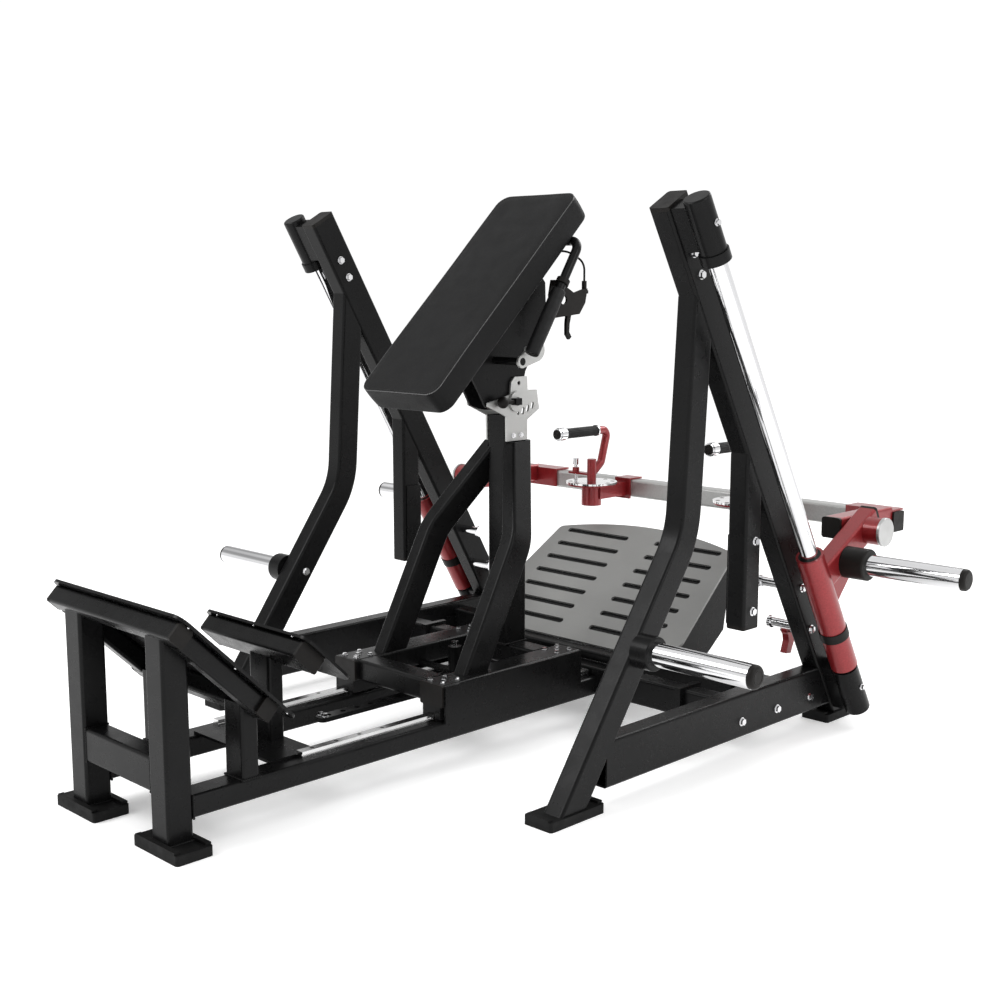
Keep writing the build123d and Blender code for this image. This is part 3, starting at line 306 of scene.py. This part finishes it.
def outward(piece):
    """Turn every face of a closed piece to the outside."""
    work = bmesh.new()
    work.from_mesh(piece.data)
    bmesh.ops.recalc_face_normals(work, faces=work.faces)
    work.to_mesh(piece.data)
    work.free()


def mirrored(point, side):
    """The point itself for side 1, its image across the machine for side -1."""
    return Vector((point.x * side, point.y, point.z))


def across(along):
    """Two unit directions square to a run and to each other."""
    side = along.orthogonal().normalized()
    return side, along.cross(side)


def circle(middle, side, other, radius, turns):
    """Points round a circle; the radius is a function of the angle."""
    points = []
    for i in range(turns):
        angle = 2 * math.pi * i / turns
        r = radius(angle)
        points.append(middle + side * (r * math.cos(angle)) + other * (r * math.sin(angle)))
    return points


def skin(low, high):
    """Quads between two closed rings of vertex numbers."""
    quads = []
    for i in range(len(low)):
        j = (i + 1) % len(low)
        quads.append((low[i], low[j], high[j], high[i]))
    return quads


def capped_tube(count, turns):
    """Faces of a closed tube made of a number of rings."""
    rings = [range(k * turns, (k + 1) * turns) for k in range(count)]
    faces = []
    for low, high in zip(rings, rings[1:]):
        faces += skin(low, high)
    faces.append(tuple(rings[0])[::-1])
    faces.append(tuple(rings[-1]))
    return faces


def smooth_wall(angle, distance):
    """Flutes of a plain turned piece, which has none."""
    return 0.0


def lathe(start, along, profile, turns=48, flute=smooth_wall):
    """Verts and faces of a turned piece: profile rows are (distance, radius)."""
    side, other = across(along)
    verts = []
    for distance, radius in profile:
        verts += circle(start + along * distance, side, other,
                        lambda angle: radius + flute(angle, distance), turns)
    return verts, capped_tube(len(profile), turns)


def join(verts, faces, more):
    """Add one piece's verts and faces to those of a larger mesh."""
    base = len(verts)
    verts += more[0]
    faces += [tuple(base + i for i in face) for face in more[1]]


# ------------------------------------------------------------------ pad
ARC_STEPS, SHORT_STEPS, LONG_STEPS = 10, 10, 30
CROWN = 0.0022
UNEVEN = 0.0006  # slow rise and fall of the foam
CORNER_FROM, CORNER_PULL = 1.55, 0.0024  # where the corners start to draw in, and how much
SAME_POINT = 0.00002

# rows of the cover from under the board up the boxing and over the seam:
# inset from the pad outline and height above the board
PAD_ROWS = (
    (0.0300, -0.0004), (0.0060, -0.0004), (0.0016, 0.0006), (0.0004, 0.0040), (0.0000, 0.0120),
    (-0.0005, 0.024), (-0.0008, 0.036), (-0.0006, 0.048), (-0.0003, 0.0565), (0.0000, 0.0600),
    (0.0005, 0.0614), (0.0016, 0.0621), (0.0024, 0.0619), (0.0030, 0.0620), (0.0048, 0.0626),
    (0.0100, 0.0636), (0.0180, 0.0644),
)
PIPING_LINE = (0.0008, 0.0616)  # inset and height of the piping in the seam
PIPING_R, PIPING_TURNS = 0.0011, 10
STITCH_LINE = (0.0052, 0.0628)  # the same of the row of stitches
STITCH_PITCH, STITCH_GAP = 0.0056, 0.16  # gap at each end of a stitch, as a share of the pitch
STITCH_R, STITCH_TURNS = 0.00042, 6


def rounded_ring(half_w, half_l, radius):
    """Points round a rounded rectangle, the same number whatever its size."""
    corners = ((1, 1, 0), (-1, 1, 90), (-1, -1, 180), (1, -1, 270))
    points = []
    for k, (sx, sy, start) in enumerate(corners):
        cx, cy = sx * (half_w - radius), sy * (half_l - radius)
        for i in range(ARC_STEPS + 1):
            angle = math.radians(start + 90 * i / ARC_STEPS)
            points.append((cx + radius * math.cos(angle), cy + radius * math.sin(angle)))
        nx, ny, turn = corners[(k + 1) % 4]
        ex = nx * (half_w - radius) + radius * math.cos(math.radians(turn))
        ey = ny * (half_l - radius) + radius * math.sin(math.radians(turn))
        last = points[-1]
        steps = LONG_STEPS if k % 2 else SHORT_STEPS
        for i in range(1, steps):
            t = i / steps
            points.append((last[0] + (ex - last[0]) * t, last[1] + (ey - last[1]) * t))
    return points


def pad_outline(inset):
    """Rounded outline of the pad, drawn in by an inset."""
    return rounded_ring(PAD_WIDTH / 2 - inset, PAD_LENGTH / 2 - inset, PAD_CORNER)


def cushion_relief(x, y, h):
    """Soft unevenness of the foam under the cover, and pulls at the corners."""
    slow = math.sin(21 * x + 1.3) * math.sin(13 * y + 0.7) * UNEVEN
    corner = max(0.0, abs(x) / (PAD_WIDTH / 2) + abs(y) / (PAD_LENGTH / 2) - CORNER_FROM)
    return (slow - corner * CORNER_PULL) * min(1.0, h / PAD_THICK)


def cover_point(x, y, h):
    """Point of the cover from its place across and along the pad and its height on the board."""
    middle = PAD_LOW + PAD_UP * (PAD_LENGTH / 2) + PAD_UNDER * PAD_THICK
    return middle + Vector((x, 0, 0)) + PAD_UP * y - PAD_UNDER * (h + cushion_relief(x, y, h))


def cover_line(inset, height):
    """Closed line of points round the cover."""
    return [cover_point(x, y, height) for x, y in pad_outline(inset)]


def crowned_top(ring, height):
    """Rows of points over the top, its rim being the given ring of (x, y) points."""
    wide, long = ARC_STEPS + SHORT_STEPS, ARC_STEPS + LONG_STEPS
    half = ARC_STEPS // 2
    count = len(ring)
    rim = [ring[(half + i) % count] for i in range(count)]
    far = [rim[i] for i in range(wide + 1)]
    left = [rim[wide + i] for i in range(long + 1)]
    near = [rim[wide + long + i] for i in range(wide + 1)]
    right = [rim[(2 * wide + long + i) % count] for i in range(long + 1)]
    reach_x = max(x for x, y in ring)
    reach_y = max(y for x, y in ring)
    rows = []
    for j in range(long + 1):
        v = j / long
        row = []
        for i in range(wide + 1):
            u = i / wide
            point = []
            for axis in (0, 1):
                ends = far[i][axis] * (1 - v) + near[wide - i][axis] * v
                sides = right[long - j][axis] * (1 - u) + left[j][axis] * u
                corner = ((far[0][axis] * (1 - u) + far[wide][axis] * u) * (1 - v)
                          + (near[wide][axis] * (1 - u) + near[0][axis] * u) * v)
                point.append(ends + sides - corner)
            x, y = point
            dome = max(0.0, 1 - (x / reach_x) ** 2) * max(0.0, 1 - (y / reach_y) ** 4)
            row.append((x, y, height + CROWN * dome))
        rows.append(row)
    return rows


def numbered(verts, points):
    """Add points to the verts and give their numbers."""
    first = len(verts)
    verts += points
    return range(first, len(verts))


def build_pad():
    """Upholstered cover: board edge, boxing, seam and crowned top in one closed skin."""
    verts, faces = [], []
    rings = [numbered(verts, cover_line(inset, height)) for inset, height in PAD_ROWS]
    for low, high in zip(rings, rings[1:]):
        faces += skin(low, high)
    faces.append(tuple(rings[0])[::-1])

    inset, height = PAD_ROWS[-1]
    rows = crowned_top(pad_outline(inset), height)
    grid = [numbered(verts, [cover_point(*place) for place in row]) for row in rows]
    for low, high in zip(grid, grid[1:]):
        for i in range(len(low) - 1):
            faces.append((low[i], low[i + 1], high[i + 1], high[i]))

    pad = add_piece("pad_upholstery", verts, faces, "black_vinyl", "pad_head")
    work = bmesh.new()
    work.from_mesh(pad.data)
    bmesh.ops.remove_doubles(work, verts=work.verts, dist=SAME_POINT)
    bmesh.ops.recalc_face_normals(work, faces=work.faces)
    work.to_mesh(pad.data)
    work.free()
    smooth = pad.modifiers.new("smooth", "SUBSURF")
    smooth.levels = smooth.render_levels = 1
    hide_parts("pad")


def build_piping():
    """Thin piping sewn into the seam between the boxing and the top of the pad, its lighter grey a
    painted highlight along the edge.
    """
    verts, faces = [], []
    route = cover_line(*PIPING_LINE)
    count = len(route)
    rings = []
    for k, at in enumerate(route):
        along = (route[(k + 1) % count] - route[k - 1]).normalized()
        out = along.cross(PAD_UNDER).normalized()
        points = circle(at, out, -PAD_UNDER, lambda angle: PIPING_R, PIPING_TURNS)
        rings.append(numbered(verts, points))
    for k in range(count):
        faces += skin(rings[k], rings[(k + 1) % count])
    piping = add_piece("pad_piping", verts, faces, "black_vinyl", "pad_head", PIPING_PAINTED_HIGHLIGHT)
    outward(piping)


def build_stitches():
    """Short threads round the pad on the top side of its seam."""
    verts, faces = [], []
    route = resample(cover_line(*STITCH_LINE), STITCH_PITCH)
    for a, b in zip(route, route[1:]):
        start, end = a.lerp(b, STITCH_GAP), a.lerp(b, 1 - STITCH_GAP)
        rows = stitch_profile((end - start).length)
        join(verts, faces, lathe(start, (end - start).normalized(), rows, STITCH_TURNS))
    add_piece("pad_stitches", verts, faces, "black_vinyl", "pad_head", THREAD)


def stitch_profile(length):
    """Rows of one thread, tapered at both ends."""
    thin = STITCH_R * 0.4
    return ((0, thin), (length * 0.2, STITCH_R), (length * 0.8, STITCH_R), (length, thin))


def resample(points, step):
    """Points at even distance round a closed route."""
    loop = points + [points[0]]
    out, left = [loop[0]], step
    for a, b in zip(loop, loop[1:]):
        run, done = (b - a).length, 0.0
        while run - done >= left:
            done += left
            out.append(a.lerp(b, done / run))
            left = step
        left -= run - done
    return out


# ------------------------------------------------------------------ grips
FOAM_R, FOAM_LENGTH, FOAM_BORE = 0.0168, 0.172, 0.0112
FOAM_BELOW = 0.012  # reach of a sleeve below the lower end of its bar's straight run
FOAM_ROUND, FOAM_BEVEL = 0.004, 0.0012  # rounding of its ends, and the row halfway round it
FOAM_SWELL, FOAM_STEPS, FOAM_TURNS = 0.0004, 14, 40

GRIP_Y = (0.774, 0.644)  # rear and front end of a handle grip
GRIP_LENGTH = GRIP_Y[0] - GRIP_Y[1]
GRIP_R, GRIP_BORE, GRIP_LIP = 0.0142, 0.0095, 0.0146
GRIP_END = ((0.0, GRIP_BORE), (0.0, 0.0132), (0.0010, GRIP_LIP), (0.0045, GRIP_LIP),
            (0.0055, GRIP_R))
GRIP_WALL_FROM = 0.006  # distance from each end to the evenly spaced rows
GRIP_STEPS, GRIP_TURNS = 24, 144
FLUTES, FLUTE_DEPTH, FLUTE_FADE = 18, 0.0009, 0.010

PLUG_Y, PLUG_TURNS = 0.614, 40
PLUG_ROWS = (
    (0.0, 0.0132), (0.0016, 0.0132), (0.0022, 0.0124), (0.0016, 0.0112), (0.0010, 0.0104),
    (0.0018, 0.0094), (0.0018, 0.0074), (0.0010, 0.0066), (0.0010, 0.0052),
    (0.0020, 0.0044), (0.0024, 0.0020),
)

# centre of each right cap's face, and the body it is on
CAP_FACES = {
    "storage": (Vector((0.8855, -0.060, 0.315)), "frame"),
    "load": (Vector((0.9765, 0.592, 0.420)), "press_carriage"),
}
CAP_RING_ROWS = (
    (0.0, 0.0150), (0.0008, 0.0148), (0.0012, 0.0138), (0.0008, 0.0128), (0.0, 0.0126),
)


def far_end(rows, length):
    """The rows of one end of a piece turned round for its other end."""
    return [(length - distance, radius) for distance, radius in rows[::-1]]


def build_foam_grips():
    """Closed-foam sleeves on the two hand bars beside the pad."""
    slope = (HAND_TOP - HAND_LOW).normalized()
    start = HAND_LOW - slope * FOAM_BELOW
    end = [(0.0, FOAM_BORE), (0.0, FOAM_R - FOAM_ROUND), (FOAM_BEVEL, FOAM_R - FOAM_BEVEL),
           (FOAM_ROUND, FOAM_R)]
    rows = list(end)
    for i in range(FOAM_STEPS + 1):
        t = i / FOAM_STEPS
        distance = 2 * FOAM_ROUND + (FOAM_LENGTH - 4 * FOAM_ROUND) * t
        rows.append((distance, FOAM_R + FOAM_SWELL * math.sin(math.pi * t)))
    rows += far_end(end, FOAM_LENGTH)
    for side, name in SIDES:
        verts, faces = lathe(mirrored(start, side), mirrored(slope, side), rows, FOAM_TURNS)
        grip = add_piece(f"{name}_foam_sleeve", verts, faces, "grip_foam", "pad_head")
        outward(grip)
    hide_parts("hand_grips")


def build_handle_grips():
    """Fluted rubber grips of the two swing bar handles."""
    def flute(angle, distance):
        fade = min(1.0, distance / FLUTE_FADE, (GRIP_LENGTH - distance) / FLUTE_FADE)
        return -FLUTE_DEPTH * max(0.0, fade) * (0.5 + 0.5 * math.cos(FLUTES * angle)) ** 2

    rows = list(GRIP_END)
    for i in range(GRIP_STEPS + 1):
        run = GRIP_LENGTH - 2 * GRIP_WALL_FROM
        rows.append((GRIP_WALL_FROM + run * i / GRIP_STEPS, GRIP_R))
    rows += far_end(GRIP_END, GRIP_LENGTH)
    for side, name in SIDES:
        start = Vector((side * HANDLE_X, GRIP_Y[0], GRIP_Z))
        verts, faces = lathe(start, TO_FRONT, rows, GRIP_TURNS, flute)
        grip = add_piece(f"{name}_fluted_grip", verts, faces, "grip_rubber", f"{name}_handle_body")
        outward(grip)
        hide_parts(f"{name}_grip")


def build_grip_plugs():
    """Ringed black plugs in the flared ends of the handle grips."""
    for side, name in SIDES:
        start = Vector((side * HANDLE_X, PLUG_Y, GRIP_Z))
        verts, faces = lathe(start, TO_FRONT, PLUG_ROWS, PLUG_TURNS)
        plug = add_piece(f"{name}_grip_plug", verts, faces, "black_plastic", f"{name}_handle_body")
        outward(plug)


def build_cap_rings():
    """Shallow moulded ring on the face of each domed weight horn cap."""
    for side, name in SIDES:
        for horn, (at, body) in CAP_FACES.items():
            verts, faces = lathe(mirrored(at, side), Vector((side, 0, 0)), CAP_RING_ROWS)
            ring = add_piece(f"{name}_{horn}_cap_ring", verts, faces, "black_plastic", body)
            outward(ring)


# ------------------------------------------------------------------ step plates
STEP_SLOPE = math.radians(44)
STEP_DOWN = Vector((0, math.cos(STEP_SLOPE), -math.sin(STEP_SLOPE)))
STEP_UNDER = Vector((0, -math.sin(STEP_SLOPE), -math.cos(STEP_SLOPE)))
STEP_THICK = 0.006
FRONT_STEP, REAR_STEP = Vector((0, -0.9096, 0.470)), Vector((0, -0.589, 0.364))
# top edge of the plate, x and distance down the plate of each screw end under its rim
RIM_STUDS = [(FRONT_STEP, x, down) for x in (-0.2325, 0.2325) for down in (0.030, 0.165, 0.325)]
RIM_STUDS += [(REAR_STEP, x, 0.0045) for x in (-0.132, 0.0, 0.132)]
STUD_ROWS = ((-0.0004, 0.0026), (0.0012, 0.0026), (0.0022, 0.0019), (0.0026, 0.0008))
STUD_TURNS = 16


def build_rim_studs():
    """Rounded screw ends that show under the overhanging rims of the step plates."""
    verts, faces = [], []
    for edge, x, down in RIM_STUDS:
        start = edge + Vector((x, 0, 0)) + STEP_DOWN * down + STEP_UNDER * STEP_THICK
        join(verts, faces, lathe(start, STEP_UNDER, STUD_ROWS, STUD_TURNS))
    add_piece("step_rim_studs", verts, faces, "chrome", "frame")


# ------------------------------------------------------------------ welds
BEAD_R, BEAD_PITCH, BEAD_OVERLAP = 0.0028, 0.0042, 1.25
BEAD_WAIST = 0.72  # radius at the ends of a ripple, as a share of its middle
BEAD_TURNS, BEAD_RINGS = 8, 5
TUBE_X = (0.120, 0.180)  # inner and outer face of a base tube


def ripple(at, along):
    """Verts and faces of one weld ripple."""
    side, other = across(along)
    verts = []
    for k in range(BEAD_RINGS):
        t = k / (BEAD_RINGS - 1)
        r = BEAD_R * (BEAD_WAIST + (1 - BEAD_WAIST) * math.sin(math.pi * t))
        middle = at + along * BEAD_PITCH * BEAD_OVERLAP * (t - 0.5)
        verts += circle(middle, side, other, lambda angle: r, BEAD_TURNS)
    return verts, capped_tube(BEAD_RINGS, BEAD_TURNS)


def weld(name, points, body):
    """Row of overlapping weld ripples along a polyline, in the black paint of the tubes."""
    verts, faces = [], []
    for a, b in zip(points, points[1:]):
        a, b = Vector(a), Vector(b)
        count = max(2, int((b - a).length / BEAD_PITCH))
        for i in range(count):
            join(verts, faces, ripple(a.lerp(b, i / count), (b - a).normalized()))
    add_piece(name, verts, faces, "black_paint", body)


def rectangle(x, y, z, axis):
    """Closed rectangle square to one axis, from one value on it and two on each of the others."""
    if axis == "z":
        corners = ((x[0], y[0], z), (x[1], y[0], z), (x[1], y[1], z), (x[0], y[1], z))
    elif axis == "x":
        corners = ((x, y[0], z[0]), (x, y[1], z[0]), (x, y[1], z[1]), (x, y[0], z[1]))
    else:
        corners = ((x[0], y, z[0]), (x[1], y, z[0]), (x[1], y, z[1]), (x[0], y, z[1]))
    return corners + corners[:1]


def build_welds():
    """Weld beads at the tube joints of the base, the sled and the step frame."""
    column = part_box("pad_column")
    cx, cy = (column[0].x, column[1].x), (column[0].y, column[1].y)
    weld("column_weld", rectangle(cx, cy, column[0].z + 0.001, "z"), "sled")
    for side, name in SIDES:
        xs = sorted(side * x for x in TUBE_X)
        seams = {
            "front_post_shoe": rectangle(xs, (-0.918, -0.862), 0.0205, "z"),
            "middle_post": rectangle(xs, (-0.750, -0.710), 0.1075, "z"),
            "base_tube": rectangle(xs, -0.8615, (0.063, 0.106), "y"),
            "tie": rectangle(side * 0.1195, (-0.914, -0.866), (0.113, 0.181), "x"),
        }
        for label, seam in seams.items():
            weld(f"{name}_{label}_weld", seam, "frame")


# ------------------------------------------------------------------ studio
CAMERA_AT = (2.3614, -2.230, 1.050)
CAMERA_TOWARD = (-0.69788, 0.69970, -0.15295)
CAMERA_LENS, SENSOR_WIDTH = 50.41, 36.0  # millimetres
CAMERA_SHIFT = (-0.0017, 0.0035)
SIGHT = 200  # farthest distance that the camera draws

FLOOR_REACH = 30.0
FLOOR_GLOW = 0.30  # keeps the paper as white as the surroundings
WORLD_STRENGTH = 1.04
# greys of the surroundings by height above the horizon, with a dimmer belt partway up
HORIZON = ((0.22, 1.0), (0.36, 0.45), (0.52, 0.40), (0.66, 1.0))

# name, place, point looked at, width and height, power
LIGHTS = (
    ("key", (-1.6, -3.2, 3.6), (0, 0, 0.5), (2.6, 2.0), 105),
    ("fill", (4.0, 0.6, 2.4), (0, 0, 0.6), (2.2, 2.4), 55),
    ("rim", (0.5, 3.6, 3.2), (0, 0, 0.6), (3.0, 1.4), 70),
)


def build_floor():
    """Sheet of white paper that the machine stands on."""
    mesh = bpy.data.meshes.new("floor")
    corners = ((-1, -1), (1, -1), (1, 1), (-1, 1))
    mesh.from_pydata([(x * FLOOR_REACH, y * FLOOR_REACH, 0) for x, y in corners], [],
                     [(0, 1, 2, 3)])
    floor = bpy.data.objects.new("floor", mesh)
    paper = Nodes("floor_paper").set(Roughness=0.9, Specular_IOR_Level=0.2)
    paper.set(Emission_Color=(1, 1, 1, 1), Emission_Strength=FLOOR_GLOW)
    paper.colour(paper.noise(1.5, 3), (0.94, 0.94, 0.94), (0.96, 0.96, 0.96))
    mesh.materials.append(paper.material)
    bpy.context.scene.collection.objects.link(floor)


def build_world():
    """Grey and white surroundings that the bright parts reflect."""
    world = bpy.data.worlds.new("studio")
    bpy.context.scene.world = world
    world.use_nodes = True
    tree = world.node_tree
    background = tree.nodes["Background"]
    coords = tree.nodes.new("ShaderNodeTexCoord")
    split = tree.nodes.new("ShaderNodeSeparateXYZ")
    ramp = tree.nodes.new("ShaderNodeValToRGB")
    ramp.color_ramp.elements[0].position = 0.0
    ramp.color_ramp.elements[0].color = (1, 1, 1, 1)
    ramp.color_ramp.elements[1].position = 1.0
    ramp.color_ramp.elements[1].color = (0.9, 0.9, 0.9, 1)
    for position, grey in HORIZON:
        stop = ramp.color_ramp.elements.new(position)
        stop.color = (grey, grey, grey, 1)
    tree.links.new(coords.outputs["Generated"], split.inputs["Vector"])
    tree.links.new(split.outputs["Z"], ramp.inputs["Fac"])
    tree.links.new(ramp.outputs["Color"], background.inputs["Color"])
    background.inputs["Strength"].default_value = WORLD_STRENGTH


def add_light(name, at, toward, size, power):
    """Rectangular lamp turned toward a point."""
    light = bpy.data.lights.new(name, "AREA")
    light.shape = "RECTANGLE"
    light.size, light.size_y = size
    light.energy = power
    lamp = bpy.data.objects.new(name, light)
    lamp.location = at
    lamp.rotation_euler = (Vector(toward) - Vector(at)).to_track_quat("-Z", "Y").to_euler()
    bpy.context.scene.collection.objects.link(lamp)


def build_camera():
    """Camera at chest height off the front right corner of the machine."""
    camera = bpy.data.objects.new("camera", bpy.data.cameras.new("camera"))
    camera.location = CAMERA_AT
    camera.rotation_euler = Vector(CAMERA_TOWARD).to_track_quat("-Z", "Y").to_euler()
    camera.data.sensor_width = SENSOR_WIDTH
    camera.data.lens = CAMERA_LENS
    camera.data.shift_x, camera.data.shift_y = CAMERA_SHIFT
    camera.data.clip_end = SIGHT
    bpy.context.scene.collection.objects.link(camera)
    bpy.context.scene.camera = camera
    bpy.context.scene.view_settings.view_transform = "Standard"


build_camera()
build_floor()
build_world()
for light in LIGHTS:
    add_light(*light)
dress_nodes()
build_pad()
build_piping()
build_stitches()
build_foam_grips()
build_handle_grips()
build_grip_plugs()
build_cap_rings()
build_rim_studs()
build_welds()
